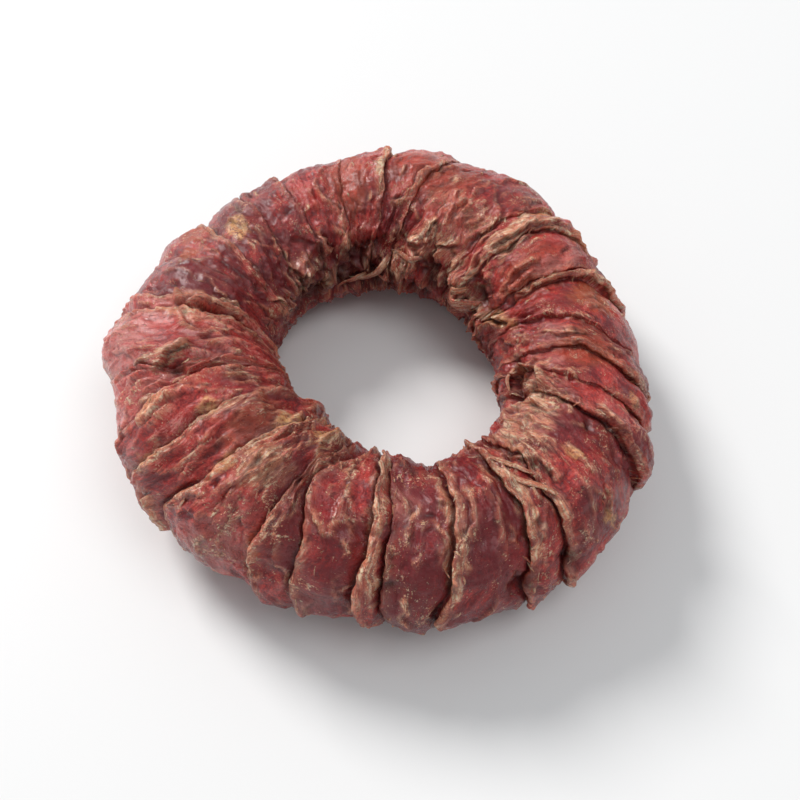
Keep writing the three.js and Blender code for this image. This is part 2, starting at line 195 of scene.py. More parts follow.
# Straps, as thin bands of meat that cross the hollows: azimuth and section at both ends, bend to one side,
# width, thickness, lift off the meat, tan, fat
STRAPS = [
    (88, 156, 108, 187, 2, 4.4, 1.3, 2.4, 0.9, 0.1),
    (95, 177, 114, 194, -1, 2.6, 1, 1.4, 0.6, 0),
    (82, 168, 97, 182, 1, 2.6, 1, 1, 0.5, 0),
    (34, 156, 55, 168, 2, 3.4, 1.7, 0.9, 0.6, 0),
    (35, 162, 56, 175, 1.8, 3.4, 1.7, 1, 0.5, 0),
    (36, 168, 57, 182, 1.8, 3.4, 1.7, 0.9, 0.4, 0),
    (37, 175, 57, 190, 1.8, 3, 1.5, 0.8, 0.4, 0),
    (38, 150, 54, 160, 1.4, 2.8, 1.3, 0.8, 0.9, 0.2),
    (70, 152, 88, 157, 0.8, 2.2, 0.9, 0.5, 0.6, 0),
    (340, 154, 354, 142, 1.2, 2, 0.9, 0.8, 0.7, 0),
    (302, 112, 310, 86, 1, 1.6, 0.7, 0.3, 0.8, 0),
    (303, 98, 312, 60, 1.2, 2.2, 0.7, 0.3, 0.9, 0.1),
]

# Scattered creases and pits: range of azimuth, of section, count, half length, half width, height, turn, tan
SCATTERED = [
    ((0, 360), (-60, 240), 120, (2, 7), (0.8, 1.6), (0.3, 0.9), 90, (0, 0.4)),
    ((25, 135), (140, 200), 70, (3, 7.5), (1, 2), (0.6, 1.5), 50, (0.2, 0.8)),
    ((30, 135), (148, 200), 34, (1.8, 4), (1.4, 2.6), (-2.8, -1.2), 60, (0, 0)),
    ((298, 352), (92, 150), 40, (1.6, 4.5), (0.8, 1.4), (0.4, 1), 60, (0.2, 0.8)),
    ((178, 250), (60, 140), 40, (1.6, 5), (0.8, 1.5), (0.4, 1), 70, (0.1, 0.8)),
    ((0, 360), (0, 180), 60, (1, 2.6), (0.6, 1.2), (-1, -0.4), 90, (0, 0)),
]

# Scattered loose edges, in the same way
LOOSE_EDGES = [
    ((0, 360), (-70, 250), 230, (2.5, 8), (1.4, 4), (0.35, 1), -90, (0, 0.7)),
    ((0, 360), (-20, 170), 200, (1.2, 3.5), (0.8, 2), (0.25, 0.6), -90, (0.1, 1)),
    ((298, 352), (90, 150), 60, (1.6, 4.5), (0.9, 2), (0.4, 0.9), -70, (0.2, 0.9)),
    ((178, 262), (50, 140), 60, (1.6, 5), (0.9, 2.4), (0.4, 1), -80, (0.1, 0.9)),
    ((25, 135), (135, 200), 60, (2, 6), (1.2, 2.6), (0.6, 1.5), -60, (0.2, 0.9)),
]

# Coloured places: azimuth, section, half length, half width, turn, strength
PATCHES = {
    "fat": [
        (138.5, 81, 5, 4, 60, 1), (43, 55, 2.5, 4, 0, 0.8), (213, 85, 3, 2, 20, 0.9),
        (212, 35, 1.8, 5, -20, 0.7), (228, 68, 2, 3.5, -30, 0.6), (233, 113, 4, 3, 40, 1),
        (246.5, 121, 2.4, 4.5, -20, 1), (321, 78, 1.8, 3, 10, 0.8), (318, 27, 2, 4, 20, 0.8),
        (203.5, 60, 1.5, 5, 0, 0.6), (344.5, 43, 2.5, 2, 20, 0.6), (20, 148, 7, 2.4, 40, 0.8),
        (236, 78, 6, 5, 50, 0.25),
    ],
    # amber places, partly the meat's own and partly a painted glow of light through thin edges
    "glow": [
        (14, 62, 7, 8, 0, 0.8), (34, 45, 4, 6, 0, 0.7), (101, 88, 7, 14, 0, 0.45), (76, 78, 16, 14, 0, 0.35),
        (145, 50, 6, 6, 0, 0.7), (152.5, 63, 3, 3, 0, 0.9), (189, 24, 3, 6, 10, 0.7), (215, 4, 4, 6, 0, 0.8),
        (242, 22, 2.4, 9, 0, 0.8), (356, 84, 7, 10, 0, 0.45), (238, 142, 8, 3, 0, 0.5),
        (343, 138, 3.5, 3, 0, 0.7), (228, 96, 9, 10, 0, 0.4), (28, 100, 8, 12, 0, 0.35),
    ],
    "red": [
        (34, 88, 4.5, 10, 0, 0.8), (46, 78, 3.6, 7, 0, 0.7), (14, 110, 5, 7, 0, 0.5),
        (115, 96, 4.5, 5, 0, 0.6), (203, 92, 3.6, 8, 0, 0.9), (223, 102, 3.6, 3, 0, 0.8),
        (255, 78, 4, 7, 20, 0.6), (344, 98, 2.4, 5, 0, 0.7), (297, 45, 3.6, 8, 0, 0.4),
        (265, 42, 3, 8, 0, 0.4), (210, 106, 4, 3, 0, 0.5), (94, 80, 4, 8, 0, 0.4),
    ],
    # light pink places, partly the meat's own and partly a painted sheen where the meat faces the window
    # light
    "pale": [
        (177, 70, 6, 9, 10, 0.9), (182, 40, 10, 12, 0, 0.8), (27, 84, 2.2, 9, 0, 0.7),
        (325, 122, 13, 9, 0, 0.8), (337, 104, 6, 5, 0, 0.5), (2, 108, 4, 6, 0, 0.7),
        (194, 111, 7, 2.6, -20, 0.7), (350, 118, 5, 6, 0, 0.6), (275, 92, 4, 5, 0, 0.4),
        (198, 42, 8, 12, 0, 0.55), (128, 60, 5, 5, 0, 0.3), (236, 35, 9, 9, 0, 0.3),
    ],
    # dark plum places, partly the meat's own and partly painted shade: on the front side away from the light,
    # in the hole and beside lips
    "plum": [
        (84, 131, 6, 6, 0, 0.7), (133, 78, 6, 12, 0, 0.8), (165, 108, 7, 11, 0, 0.9),
        (327, 72, 5, 4, 0, 0.6), (296, 66, 5, 12, 0, 0.5), (188, 100, 6, 5, 0, 0.7),
        (214, 112, 9, 6, 20, 0.6), (283, 70, 2.4, 14, 0, 0.6), (243, 75, 3, 8, 0, 0.4),
        (125, 108, 5, 4, 0, 0.4), (110, 172, 16, 9, 0, 0.8), (256, 50, 12, 15, 0, 0.7),
        (278, 45, 7, 19, 0, 0.75), (292, 48, 4.5, 18, 0, 0.6),
    ],
    "tan": [
        (267.3, 54, 1.9, 15, 0, 0.8), (268.5, 95, 2, 7, 0, 0.5), (286, 78, 1.7, 13, 0, 0.8),
        (283.3, 46, 1.8, 8, 0, 0.8), (304, 80, 1.9, 9, 0, 0.9), (302, 50, 1.6, 9, 0, 0.7),
        (43, 92, 3.2, 11, 12, 1), (325, 122, 13, 8, 0, 0.7), (237, 81, 6, 6, 30, 0.4),
        (62, 112, 11, 7, 0, 0.3), (192, 82, 2.2, 4.5, 0, 1), (66, 142, 10, 5, 0, 0.5),
        (177, 98, 3, 8, 0, 0.7), (169, 104, 2, 8, 0, 0.8),
    ],
}


def waves(table, azimuth):
    """Sum of waves that repeat once or more round the ring."""
    return sum(size * np.cos(np.radians(lobes * (azimuth - at))) for lobes, size, at in table)


def round_tube(angles, values, section):
    """Smooth curve through values at the given section angles that closes on itself round the tube."""
    angles = np.array(angles, float)
    values = np.array(values, float)
    count = len(angles)
    turn = np.mod(section, 360)
    i = np.searchsorted(angles, turn, side="right") - 1

    def angle(n):
        return angles[n % count] + 360 * (n // count)

    def slope(n):
        return (values[(n + 1) % count] - values[(n - 1) % count]) / (angle(n + 1) - angle(n - 1))

    span = angle(i + 1) - angle(i)
    t = (turn - angle(i)) / span
    rest = 1 - t
    return (values[i] * (1 + 2 * t) * rest**2 + values[(i + 1) % count] * t**2 * (3 - 2 * t)
            + slope(i) * span * t * rest**2 - slope(i + 1) * span * t**2 * rest)


def side(strip, key, section):
    """One of a strip's values for outer side, top and hole, at any section angle."""
    outer, top, hole = strip[key]
    return round_tube(SIDE_SECTIONS, [outer, top, hole, UNDERSIDE_RISE * min(outer, hole)], section)


def tube_at(azimuth):
    return TUBE_RADIUS + waves(THICK_AND_THIN, azimuth)


def centre_at(azimuth):
    return RING_RADIUS + waves(OUT_OF_ROUND, azimuth)


def reach(azimuth, section):
    """Distance from the ring's axis to the tube's surface."""
    return centre_at(azimuth) + tube_at(azimuth) * np.cos(np.radians(section))


def tube_place(section):
    """The two measures of a place on the tube's section from its middle."""
    angle = np.radians(section)
    return np.cos(angle) * TUBE_RADIUS, np.sin(angle) * TUBE_RADIUS


def turn_from(start, angle):
    """How far an angle lies past a start, between -180 and 180."""
    return np.mod(angle - start + 180, 360) - 180


def hump(offset, width):
    """1 in the middle, fading out at about twice the width."""
    return np.exp(-(offset / width)**2)


def smooth(low, high, value):
    """0 below low, 1 above high, and an even S between."""
    t = np.clip((value - low) / (high - low), 0, 1)
    return t * t * (3 - 2 * t)


PRIMES = (374761393, 668265263, 2246822519, 3266489917)
SLOPE_BITS = 10
SLOPE_TOP = 2**SLOPE_BITS - 1
NOISE_GAIN = 1.5


def scramble(x, y, z, seed):
    """A repeatable whole number for each whole-numbered place."""
    for_x, for_y, for_z, for_seed = (np.uint32(prime) for prime in PRIMES)
    h = x * for_x + y * for_y + z * for_z
    h = h + np.uint32((seed * PRIMES[3]) % 2**32)
    h = (h ^ (h >> np.uint32(15))) * for_z
    h = (h ^ (h >> np.uint32(13))) * for_seed
    return h ^ (h >> np.uint32(16))


def noise(x, y, z, seed):
    """Smooth noise of about one bump a unit, between about -1 and 1."""
    x, y, z = np.broadcast_arrays(*(np.asarray(c, np.float32) for c in (x, y, z)))
    low = [np.floor(c) for c in (x, y, z)]
    inside = [c - f for c, f in zip((x, y, z), low)]
    ease = [f**3 * (f * (f * 6 - 15) + 10) for f in inside]
    whole = [f.astype(np.int64).astype(np.uint32) for f in low]
    total = np.zeros(x.shape, np.float32)
    for corner in range(8):
        step = [(corner >> axis) & 1 for axis in range(3)]
        h = scramble(*(w + np.uint32(s) for w, s in zip(whole, step)), seed)
        weight = 1.0
        slope = 0.0
        for axis in range(3):
            weight = weight * (ease[axis] if step[axis] else 1 - ease[axis])
            part = (h >> np.uint32(SLOPE_BITS * axis)) & np.uint32(SLOPE_TOP)
            part = part.astype(np.float32) / (SLOPE_TOP / 2) - 1
            slope = slope + part * (inside[axis] - step[axis])
        total += weight * slope
    return NOISE_GAIN * total


def fractal(x, y, z, octaves, seed):
    return sum(noise(x * 2**n, y * 2**n, z * 2**n, seed + n) / 2**n for n in range(octaves))


# Patterns in the meat: length across a strip, length along it, seed
PATTERNS = {
    "shift": (8, 9, 11), "small shift": (2.5, 4, 12), "lumps": (12, 14, 21), "small lumps": (5.5, 8, 22),
    "folds": (4.6, 16, 31), "strings": (2.1, 11, 41), "grain": (1.1, 5, 51), "crumbs": (2.6, 3.2, 61),
    "rough": (2, 4, 81), "fine rough": (0.8, 1.6, 82), "tone": (8, 10, 83), "fine tone": (2.2, 9, 84),
    "mottle": (9, 12, 85), "crests": (4.5, 7, 91), "wrinkled": (10, 14, 95), "grainy": (8, 10, 97),
}
STRIP_APART = 31.7  # how far one strip's patterns lie from the next one's


def pattern(name, q, section, octaves=1):
    """A pattern of the meat, at places q across the strips."""
    across, along, seed = PATTERNS[name]
    x, y = tube_place(section)
    return fractal(q / across, x / along, y / along, octaves, seed)


# The fine skin
SECTIONS = 384
COLUMN = 0.5  # width of a face along the ring, on top
FEWEST_COLUMNS = 6
UNDER_COLUMNS = 4
ROUND_COLUMNS = 7
THETA = 360 * np.arange(SECTIONS) / SECTIONS

# Unevenness of the lips' lines, rises and dry rims: length and size of each wave
LIP_RAGGED = [(16.0, 1.5), (6.0, 1.0), (2.4, 0.45), (1.1, 0.16)]
RISE_RAGGED = [(13.0, 1.0), (5.0, 0.5), (2.0, 0.25)]
RIM_RAGGED = [(7.0, 0.8), (2.6, 0.5)]
LIP_SEED = 100
RISE_SEED = 500
RIM_SEED = 700
SEED_STEP = 10
LAYER = 0.37  # of the noise that the lines are cut from

# The lips
RISE_SHARE = 0.72  # of the rises in the table
RISE_CHANGE = 0.65
CRUMPLED_LOSS = 0.65  # share of its rise that a lip loses in crumpled meat
LOWEST_RISE = 0.12
HIGHEST_RISE = 0.6  # as a share of the width of the narrower strip beside the lip
STRONG_LIP = (0.2, 2.0)  # from a weak lip's rise to a strong one's
CREVICE = 1.2  # depth of the crease under a strong lip
TUCK_SHARE = 0.75
TUCK_START = 0.6
TUCK_RANGE = (-0.5, 1.3)
PRESSED = (-0.75, -0.98)  # how far down the tube it begins to be pressed flat, and is quite flat
PRESSED_TUCK = 0.4
BEAD_TOP = 1.6
BEAD_SHARES = (0.05, 0.45)  # height of the rolled rim for its rise, where moist and what dryness adds
BEAD_WIDTH = 1.9
GROOVE_SHARE, GROOVE_BEHIND, GROOVE_WIDTH = 0.15, 2.8, 0.9  # behind the rolled rim
LIP_THICKNESS = (0.2, 2.0)
THICKNESS_SHARE = 0.8
UNDER_CURVE = 0.7
TOP_CURVE = 1.4
TUCKED_WIDTH = 2
DIP_SHARE, DIP_WIDTH = 0.2, 1.1  # before the next lip
LEAST_TUCK = 0.4
RIM_WIDTH = 1.45
SHADE_WIDTH = 1.2

# Where the wall of the hole is most crumpled
CRUMPLED_AZIMUTH, CRUMPLED_SPREAD = 75, 62
CRUMPLED_LEAST = 0.35


def ragged(seed, k, lengths):
    """Uneven line round the tube for a strip, in millimetres."""
    x, y = tube_place(THETA)
    return sum(size * noise(x / length, y / length, LAYER, seed + SEED_STEP * k + n)
               for n, (length, size) in enumerate(lengths))


def crumpled(azimuth, section):
    """How crumpled the meat is, 0 to 1. The wall of the hole is worst at the back."""
    hole = smooth(-0.1, 0.7, -np.cos(np.radians(section)))
    back = hump(turn_from(CRUMPLED_AZIMUTH, azimuth), CRUMPLED_SPREAD)
    return hole * (CRUMPLED_LEAST + (1 - CRUMPLED_LEAST) * back)


def lips_around():
    """Azimuth of every lip at every section angle, as strips by sections."""
    lips = []
    for k, strip in enumerate(STRIPS):
        under = (strip["lip"][0] + strip["lip"][4]) / 2 + UNDERSIDE_TWIST
        lip = round_tube(LIP_SECTIONS, strip["lip"] + [under], THETA)
        lip = lip + np.degrees(ragged(LIP_SEED, k, LIP_RAGGED) / reach(lip, THETA))
        if lips:
            gap = np.degrees(NARROWEST / reach(lip, THETA))
            lip = np.maximum(lip, lips[-1] + gap)
        lips.append(lip)
    return np.array(lips)


def lip_rises(lips):
    """How far each lip stands up at every section angle."""
    after = np.vstack([lips[1:], lips[:1] + 360])
    before = np.vstack([lips[-1:] - 360, lips[:-1]])
    rises = []
    for k, strip in enumerate(STRIPS):
        room = np.minimum(after[k] - lips[k], lips[k] - before[k])
        room = np.radians(room) * reach(lips[k], THETA)
        uneven = 1 + RISE_CHANGE * ragged(RISE_SEED, k, RISE_RAGGED)
        uneven = uneven * (1 - CRUMPLED_LOSS * crumpled(lips[k], THETA))
        rise = RISE_SHARE * side(strip, "rise", THETA) * uneven
        rises.append(np.clip(rise, LOWEST_RISE, HIGHEST_RISE * room))
    return np.array(rises)


def tuck_and_crevice(rise, pressed):
    """How far the crease lies back under a lip, and its depth. Before a weak lip it is an open step."""
    tuck = np.clip(TUCK_SHARE * rise - TUCK_START, *TUCK_RANGE)
    return tuck * (1 - pressed) - PRESSED_TUCK * pressed, CREVICE * smooth(*STRONG_LIP, rise)


def strip_grid(k, lips, rises):
    """The points of one strip, as sections by columns: azimuth, section, height, and what they are like."""
    count = len(STRIPS)
    strip = STRIPS[k]
    start = lips[k][:, None]
    end = (lips[k + 1] if k + 1 < count else lips[0] + 360)[:, None]
    rise = rises[k][:, None]
    next_rise = rises[(k + 1) % count][:, None]
    section = THETA[:, None]
    per_degree = np.radians(1) * reach(start, section)
    width = (end - start) * per_degree
    pressed = smooth(*PRESSED, np.sin(np.radians(section)))
    tuck, crevice = tuck_and_crevice(rise, pressed)
    next_tuck, next_crevice = tuck_and_crevice(next_rise, pressed)
    dry_rim = side(strip, "rim", section)
    patchy = smooth(-0.5, 0.6, ragged(RIM_SEED, k, RIM_RAGGED))[:, None]
    bead = np.clip(rise, 0, BEAD_TOP) * (BEAD_SHARES[0] + BEAD_SHARES[1] * dry_rim * patchy)
    thick = np.clip(THICKNESS_SHARE * (rise + bead), *LIP_THICKNESS)
    crest = rise + bead

    under = np.arange(UNDER_COLUMNS)[None, :] / UNDER_COLUMNS
    under_s = tuck * (1 - under) + thick / 2 * under
    under_h = -crevice * (1 - under)**2 + (crest - thick) * under**UNDER_CURVE

    angle = np.radians(np.linspace(-90, 90, ROUND_COLUMNS + 2)[None, :-1])
    round_s = thick / 2 * (1 - np.cos(angle))
    round_h = crest - thick / 2 + thick / 2 * np.sin(angle)

    crown = math.radians(float(np.mean(end - start))) * RING_RADIUS
    columns = max(FEWEST_COLUMNS, round((crown + TUCKED_WIDTH) / COLUMN))
    top = np.arange(columns)[None, :] / columns
    top_s = thick / 2 + (width + next_tuck - thick / 2) * top
    t = np.clip(top_s / width, 0, 1)
    swell = side(strip, "swell", section)
    behind = top_s - thick / 2
    rope = bead * np.exp(-(behind / BEAD_WIDTH)**4)
    rope = rope - GROOVE_SHARE * bead * hump(behind - GROOVE_BEHIND, GROOVE_WIDTH)
    dip = DIP_SHARE * next_rise * smooth(0.4, 2.0, next_rise) * hump(width - top_s, DIP_WIDTH)
    tucked = smooth(0, 1, (top_s - width) / np.maximum(next_tuck, LEAST_TUCK))
    top_h = rise * (1 - t**TOP_CURVE) + rope + swell * np.sin(np.pi * t) - dip - (next_crevice - dip) * tucked

    s = np.hstack([under_s, round_s, top_s])
    hidden = np.hstack([1 - under + 0 * under_s, 0.3 + 0 * round_s, tucked + 0 * top_s])
    rim = np.hstack([0.3 * under + 0 * under_s, 1 + 0 * round_s, hump(behind, RIM_WIDTH)])
    rim = rim * smooth(0.2, 1.2, rise) * (0.45 + 0.55 * patchy)
    before_next = np.minimum(width - s, 0.8 * width)
    return {
        "azimuth": start + s / per_degree,
        "section": section + 0 * s,
        "height": np.hstack([under_h, round_h, top_h]),
        "across": s / width * crown,
        "hidden": np.clip(hidden, 0, 1),
        "rim": rim * dry_rim,
        # painted shade on the meat just before a strong next lip, under its overhang
        "shade": smooth(0.2, 1.6, next_rise) * hump(before_next, SHADE_WIDTH),
    }


# Depth of each kind of relief in millimetres, and how much more of it wrinkled, crumpled, stringy, grainy
# or mottled meat and the rims have
LUMP_DEPTH = 0.65
FOLD_DEPTH, WRINKLED_FOLDS, CRUMPLED_FOLDS = 0.45, 1.1, 1.0
STRING_DEPTH, STRINGY_STRINGS = 0.35, 1.1
GRAIN_DEPTH, WRINKLED_GRAIN = 0.14, 0.3
CREST_DEPTH, CRUMPLED_CRESTS = 1.15, 0.8
CRUMB_DEPTH, GRAINY_CRUMBS, RIM_CRUMBS, CRUMPLED_CRUMBS = 0.14, 0.7, 1.3, 0.4
RIDGE_LEVEL = 0.28
CREST_LEVEL = 0.35
HIDDEN_LOSS = 0.75


def add_relief(g, k):
    """Lumps, wrinkles and strings of one strip."""
    strip = STRIPS[k]
    section = g["section"]
    q = g["across"] + STRIP_APART * k
    crumple = crumpled(g["azimuth"], section)
    q = q + 1.8 * pattern("shift", q, section) + 0.6 * pattern("small shift", q, section)
    lumps = pattern("lumps", q, section) + 0.6 * pattern("small lumps", q, section)
    folds = np.abs(pattern("folds", q, section)) - RIDGE_LEVEL
    strings = np.abs(pattern("strings", q, section)) - RIDGE_LEVEL
    crumbs = pattern("crumbs", q, section, 3)
    crests = np.maximum(CREST_LEVEL - np.abs(pattern("crests", q, section, 2)), 0)
    wrinkled = smooth(-0.25, 0.45, pattern("wrinkled", q, section))
    grainy = smooth(-0.2, 0.5, pattern("grainy", q, section))
    calm = 1 - 0.5 * smooth(0.2, 0.8, -np.sin(np.radians(section)))
    relief = (LUMP_DEPTH * lumps
              + (FOLD_DEPTH + WRINKLED_FOLDS * wrinkled + CRUMPLED_FOLDS * crumple) * calm * folds
              + (STRING_DEPTH + STRINGY_STRINGS * strip["fibre"]) * (0.35 + 0.65 * wrinkled) * calm * strings
              + (GRAIN_DEPTH + WRINKLED_GRAIN * wrinkled) * pattern("grain", q, section)
              + (CREST_DEPTH * grainy + CRUMPLED_CRESTS * crumple) * crests
              + (CRUMB_DEPTH + GRAINY_CRUMBS * strip["mottle"] * grainy + RIM_CRUMBS * g["rim"]
                 + CRUMPLED_CRUMBS * crumple) * crumbs)
    g["height"] = g["height"] + relief * (1 - HIDDEN_LOSS * g["hidden"])
    g["crest"] = (1.2 * folds + 1.2 * strings + 0.5 * crumbs) * wrinkled + 1.5 * crests * grainy
    g["fibre_q"] = q


def raise_to(g, key, value):
    """Lift a value of the grid where it lies below another."""
    g[key] = np.maximum(g[key], value)


def shaken(x, y, wobble, length, layer, seeds):
    """Places pushed about, so that what is laid out by them isn't even."""
    x = x + wobble * noise(x / length, y / length, layer, seeds[0])
    return x, y + wobble * noise(x / length, y / length, layer, seeds[1])


FADED = 2.6  # half sizes from its middle at which a place has faded out
PLACE_LENGTH, PLACE_SEEDS = 3, (71, 72)
FOLD_WOBBLE = 0.9


def place_mask(g, azimuth, section, half_long, half_wide, turn, wobble):
    """Offsets along and across a place's length, as shares of its half sizes, or None where far away."""
    off = turn_from(azimuth, g["azimuth"])
    if np.min(np.abs(off)) > max(half_long, half_wide) * FADED:
        return None
    along = np.radians(off) * reach(g["azimuth"], g["section"])
    across = np.radians(turn_from(section, g["section"])) * TUBE_RADIUS
    along, across = shaken(along, across, wobble, PLACE_LENGTH, azimuth, PLACE_SEEDS)
    c, s = math.cos(math.radians(turn)), math.sin(math.radians(turn))
    return (along * c + across * s) / half_long, (across * c - along * s) / half_wide


def add_fold(g, azimuth, section, half_long, half_wide, turn, high, lean=0, tan=0):
    """A raised, leaning fold or a pit."""
    place = place_mask(g, azimuth, section, half_long, half_wide, turn, FOLD_WOBBLE)
    if place is None:
        return
    u, v = place
    shape = np.exp(-(u**2) - v**2)
    g["height"] = g["height"] + high * shape
    g["crest"] = g["crest"] + 0.5 * high * shape
    # painted shade in a pit
    if high < 0:
        raise_to(g, "shade", shape)
    if lean:
        push = lean * shape
        c, s = math.cos(math.radians(turn)), math.sin(math.radians(turn))
        g["azimuth"] = g["azimuth"] - np.degrees(push * -s / reach(g["azimuth"], g["section"]))
        g["section"] = g["section"] - np.degrees(push * c / TUBE_RADIUS)
    raise_to(g, "rim", tan * smooth(0.45, 0.95, shape))


FLAKE_CURVE, FLAKE_WAVE = 0.35, 0.15  # how a flake's edge bends and waves, for its half width
FLAKE_FALL = 0.4  # how far its steep side takes to fall off
FLAKE_RIM, FLAKE_RIM_WIDTH = 0.15, 0.55
FLAKE_SHADE, FLAKE_SHADE_WIDTH = 0.9, 0.4


def add_flake(g, azimuth, section, half_long, half_wide, turn, high, tan):
    """A loose edge within a strip: it falls off steeply on one side and fades out on the other."""
    place = place_mask(g, azimuth, section, half_long, half_wide, turn, FOLD_WOBBLE)
    if place is None:
        return
    u, v = place
    v = half_wide * (v + FLAKE_CURVE * u * u + FLAKE_WAVE * np.sin(4 * u + azimuth))
    fade = np.exp(-u**4 - 0.5 * u**2)
    shape = fade * np.where(v > 0, hump(v, half_wide), hump(v, FLAKE_FALL))
    open_meat = 1 - g["hidden"]
    g["height"] = g["height"] + high * shape * open_meat
    g["crest"] = g["crest"] + 0.3 * high * shape
    raise_to(g, "rim", tan * (fade * hump(v - FLAKE_RIM, FLAKE_RIM_WIDTH) * open_meat))
    # painted shade: a dark line at the foot of the steep side
    raise_to(g, "shade", 0.7 * fade * hump(v + FLAKE_SHADE, FLAKE_SHADE_WIDTH) * open_meat)


EDGE_REACH = 24  # degrees beyond its first place at which an edge has ended
EDGE_WOBBLE, EDGE_LENGTH, EDGE_SEEDS = 0.7, 2.5, (73, 74)
EDGE_UNEVEN, EDGE_UNEVEN_LENGTH, EDGE_UNEVEN_SEED = 0.45, 2.2, 75
EDGE_FALL = 0.35  # how far the steep side takes to fall off
EDGE_OVERHANG = 0.5  # share of the height that the edge leans over its steep side
EDGE_GROOVE, EDGE_GROOVE_BEFORE, EDGE_GROOVE_WIDTH = 0.35, 0.9, 0.6  # depth as a share of the height


def add_edge(g, places, half_wide, high, tan, steep=-1):
    """A folded edge or a crease along a line of places."""
    azimuth, section = np.array(places, float).T
    off = turn_from(azimuth[0], g["azimuth"])
    if np.min(np.abs(off)) > EDGE_REACH:
        return
    x = np.radians(off) * reach(g["azimuth"], g["section"])
    y = np.radians(turn_from(section[0], g["section"])) * TUBE_RADIUS
    x, y = shaken(x, y, EDGE_WOBBLE, EDGE_LENGTH, section[0], EDGE_SEEDS)
    ends_x = np.radians(turn_from(azimuth[0], azimuth)) * reach(azimuth, section)
    ends_y = np.radians(section - section[0]) * TUBE_RADIUS
    lengths = np.hypot(np.diff(ends_x), np.diff(ends_y))
    nearest = np.full(x.shape, np.inf)
    v, along, sideways = np.zeros((3, *x.shape))
    for n, length in enumerate(lengths):
        dx, dy = (ends_x[n + 1] - ends_x[n]) / length, (ends_y[n + 1] - ends_y[n]) / length
        t = (x - ends_x[n]) * dx + (y - ends_y[n]) * dy
        apart = (y - ends_y[n]) * dx - (x - ends_x[n]) * dy
        far = np.hypot(apart, t - np.clip(t, 0, length))
        closer = far < nearest
        nearest = np.where(closer, far, nearest)
        v = np.where(closer, np.where(apart < 0, -far, far), v)
        along = np.where(closer, lengths[:n].sum() + t, along)
        sideways = np.where(closer, -dy, sideways)
    total = lengths.sum()
    fade = smooth(-0.5, 1.5, along) * smooth(total + 0.5, total - 1.5, along)
    uneven = noise(along / EDGE_UNEVEN_LENGTH, section[0], azimuth[0], EDGE_UNEVEN_SEED)
    fade = fade * (1 + EDGE_UNEVEN * uneven)
    v = -v if steep > 0 else v
    gentle = hump(v, half_wide)
    open_meat = 1 - g["hidden"]
    if steep:
        shape = fade * np.where(v > 0, gentle, hump(v, EDGE_FALL)) * open_meat
        groove = fade * hump(v + EDGE_GROOVE_BEFORE, EDGE_GROOVE_WIDTH) * open_meat
        g["height"] = g["height"] + high * (shape - EDGE_GROOVE * groove)
        push = EDGE_OVERHANG * high * shape * np.sign(steep)
        g["azimuth"] = g["azimuth"] + np.degrees(push * np.abs(sideways) / reach(g["azimuth"], g["section"]))
    else:
        shape = fade * gentle * open_meat
        groove = shape
        g["height"] = g["height"] + high * shape
    # painted shade in the groove beside a steep edge, or along a sunk crease
    if steep or high < 0:
        raise_to(g, "shade", 0.8 * groove * smooth(0.4, 1.4, abs(high)))
    g["crest"] = g["crest"] + 0.4 * high * shape
    edge = fade * hump(v - 0.3 * half_wide, 0.4 + 0.4 * half_wide) * open_meat
    raise_to(g, "rim", tan * edge)


# Draws of the scattered places: seed, spread of their turns, lean for their height
FOLD_DRAW = (29, 26, (0.3, 0.7))
FLAKE_DRAW = (41, 22, None)
TURNED_BACK = 0.3  # share of the loose edges that face against the lips


def scattered(table, seed, spread, leans):
    """Many small places, laid out by a seeded draw. Those without a lean face one way or the other."""
    draw = np.random.default_rng(seed)
    places = []
    for azimuths, sections, count, long, wide, high, turn, tan in table:
        for _ in range(count):
            sign = draw.choice([-1, 1]) if leans else 0
            back = 0 if leans else 180 * (draw.random() < TURNED_BACK)
            place = [draw.uniform(*azimuths) % 360, draw.uniform(*sections) % 360, draw.uniform(*long),
                     draw.uniform(*wide), turn + back + draw.normal(0, spread), draw.uniform(*high)]
            if leans:
                place.append(sign * draw.uniform(*leans) * max(high[1], 0))
            places.append((*place, draw.uniform(*tan)))
    return places


def to_points(g):
    """Places on the tube as points in millimetres, pressed flat underneath."""
    azimuth, section = g["azimuth"], g["section"]
    bare = tube_at(azimuth)
    swell = sum(size * np.sin(np.radians(along * azimuth + around * section + at))
                for size, along, around, at in SWELLS)
    tube = bare + g["height"] + swell
    out = centre_at(azimuth) + tube * np.cos(np.radians(section))
    up = TUBE_HEIGHT_SHARE * (bare + tube * np.sin(np.radians(section))) - SETTLED
    x, y = out * np.cos(np.radians(azimuth)), out * np.sin(np.radians(azimuth))
    return np.stack([x, y, np.maximum(up, 0)], -1)


PATCH_WOBBLE = 1.4
PATCH_ROUGHNESS = 0.16


def add_colours(g, k):
    """How much of each colour lies where on a strip."""
    strip = STRIPS[k]
    section = g["section"]
    q = g["fibre_q"]
    rough = pattern("rough", q, section) + 0.6 * pattern("fine rough", q, section)
    g["tone"] = (side(strip, "tone", section) + 0.28 * pattern("tone", q, section)
                 + 0.22 * pattern("fine tone", q, section))
    for what, places in PATCHES.items():
        g[what] = np.zeros(g["height"].shape)
        for *place, strength in places:
            offsets = place_mask(g, *place, PATCH_WOBBLE)
            if offsets is None:
                continue
            shape = np.exp(-0.7 * (offsets[0]**2 + offsets[1]**2)) + PATCH_ROUGHNESS * rough
            raise_to(g, what, strength * smooth(0.3, 0.75, shape))
    g["rim"] = np.clip(np.maximum(g["rim"], g.pop("tan")) * (1 + 0.7 * rough), 0, 1)
    g["dry"] = smooth(0.25, 0.9, g["crest"] + 0.35 * rough) * (0.15 + 0.6 * strip["mottle"])
    g["mottle"] = strip["mottle"] * smooth(-0.15, 0.55, pattern("mottle", q, section) + 0.4 * rough)


